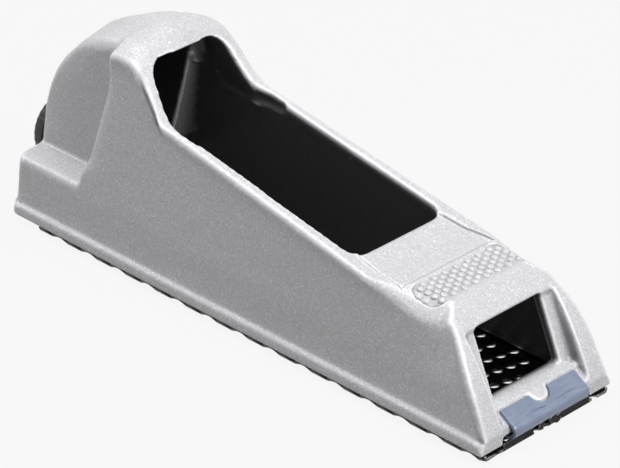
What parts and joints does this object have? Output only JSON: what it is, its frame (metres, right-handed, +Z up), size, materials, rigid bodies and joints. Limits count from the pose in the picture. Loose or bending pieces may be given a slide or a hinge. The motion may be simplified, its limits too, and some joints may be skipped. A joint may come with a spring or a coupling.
{
  "type": "rasp plane",
  "caption": "Block rasp plane: silver die-cast body with a palm handle, an open chip well and a perforated toothed blade held by a toe clip and a tension screw.",
  "frame": {"origin": "on the surface under the tooth tips, below the middle of the overall length and width", "axes": "+X towards the toe, along the length; +Z up, away from the work; Y across, the part being alike on both sides"},
  "size_m": [0.1625, 0.0436, 0.0568],
  "materials": {
    "silver_paint": "sparkle silver paint on a die casting, satin",
    "black_blade": "oil-blackened hardened steel",
    "clip_steel": "blue-grey plated spring steel, satin",
    "black_plastic": "moulded, matt",
    "zinc_steel": "bright zinc plate",
    "spring_steel": "phosphated spring steel"
  },
  "bodies": {
    "casting": {"body": "silver_paint", "blade": "black_blade", "toe_clip": "clip_steel", "thrust_washer": "zinc_steel"},
    "screw": {"tension_knob": "black_plastic", "tension_screw": "zinc_steel", "retaining_ring": "spring_steel"},
    "hook": {"tension_hook": "zinc_steel", "square_nut": "zinc_steel"}
  },
  "joints": [
    {"name": "screw_turn", "type": "hinge", "parent": "casting", "child": "screw", "pos_m": [-0.07655, 0, 0.016], "axis": [-1, 0, 0], "range_deg": [0, 2160]},
    {"name": "hook_slide", "type": "slide", "parent": "casting", "child": "hook", "axis": [1, 0, 0], "range_m": [0, 0.0048]}
  ],
  "couplings": [
    {"joint": "screw_turn", "follows": "hook_slide", "rad_per_m": 7854}
  ]
}
